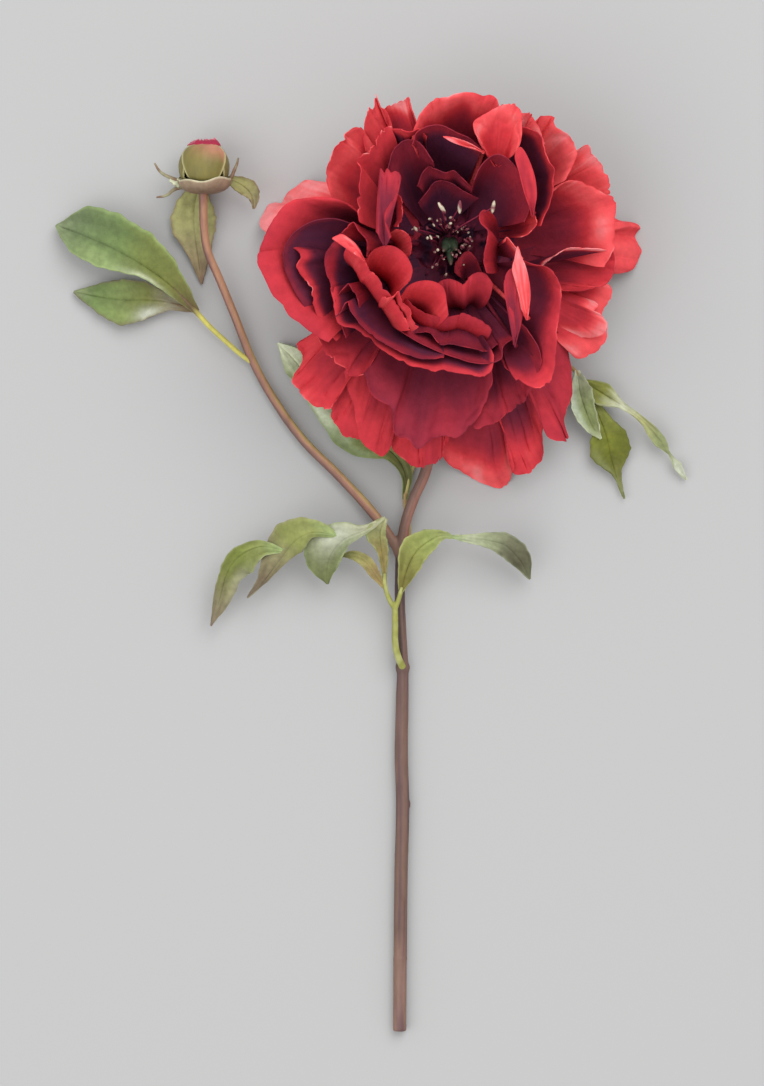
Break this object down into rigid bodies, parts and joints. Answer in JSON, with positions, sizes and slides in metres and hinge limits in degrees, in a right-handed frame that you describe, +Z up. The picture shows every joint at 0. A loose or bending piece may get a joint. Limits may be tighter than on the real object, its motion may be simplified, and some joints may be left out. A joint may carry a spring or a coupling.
{
  "type": "cut peony stem",
  "caption": "Cut artificial peony stem lying on a surface, with one open red bloom, a closed bud on a side branch and compound leaves.",
  "frame": {"origin": "centre of the lying stem's outline at the surface it lies on", "axes": "+Z up from the surface, which is also the way the open bloom faces; +Y along the stem from its cut end towards the bloom; +X across, away from the bud"},
  "size_m": [0.2541, 0.3728, 0.0739],
  "materials": {
    "stem": "matt coated wire stem, mauve brown with tan streaks",
    "petal": "soft matt cloth, bright red at the lip and dark burgundy at the base",
    "sepal": "matt olive cloth with brown edges",
    "stamen": "cream anthers on maroon threads",
    "carpel": "dark green, matt",
    "bud": "matt olive cloth with a pink blush and crimson tips",
    "leaf": "green cloth with a soft silvery sheen and pressed veins"
  },
  "bodies": {
    "root": {"stem": "stem", "bloom_petals": "petal", "bloom_sepals": "sepal", "stamens": "stamen", "carpels": "carpel", "bud_petals": "bud", "bud_sepals": "sepal", "leaf_bud_branch": "leaf", "leaf_lower": "leaf", "leaf_upper": "leaf"}
  },
  "joints": []
}
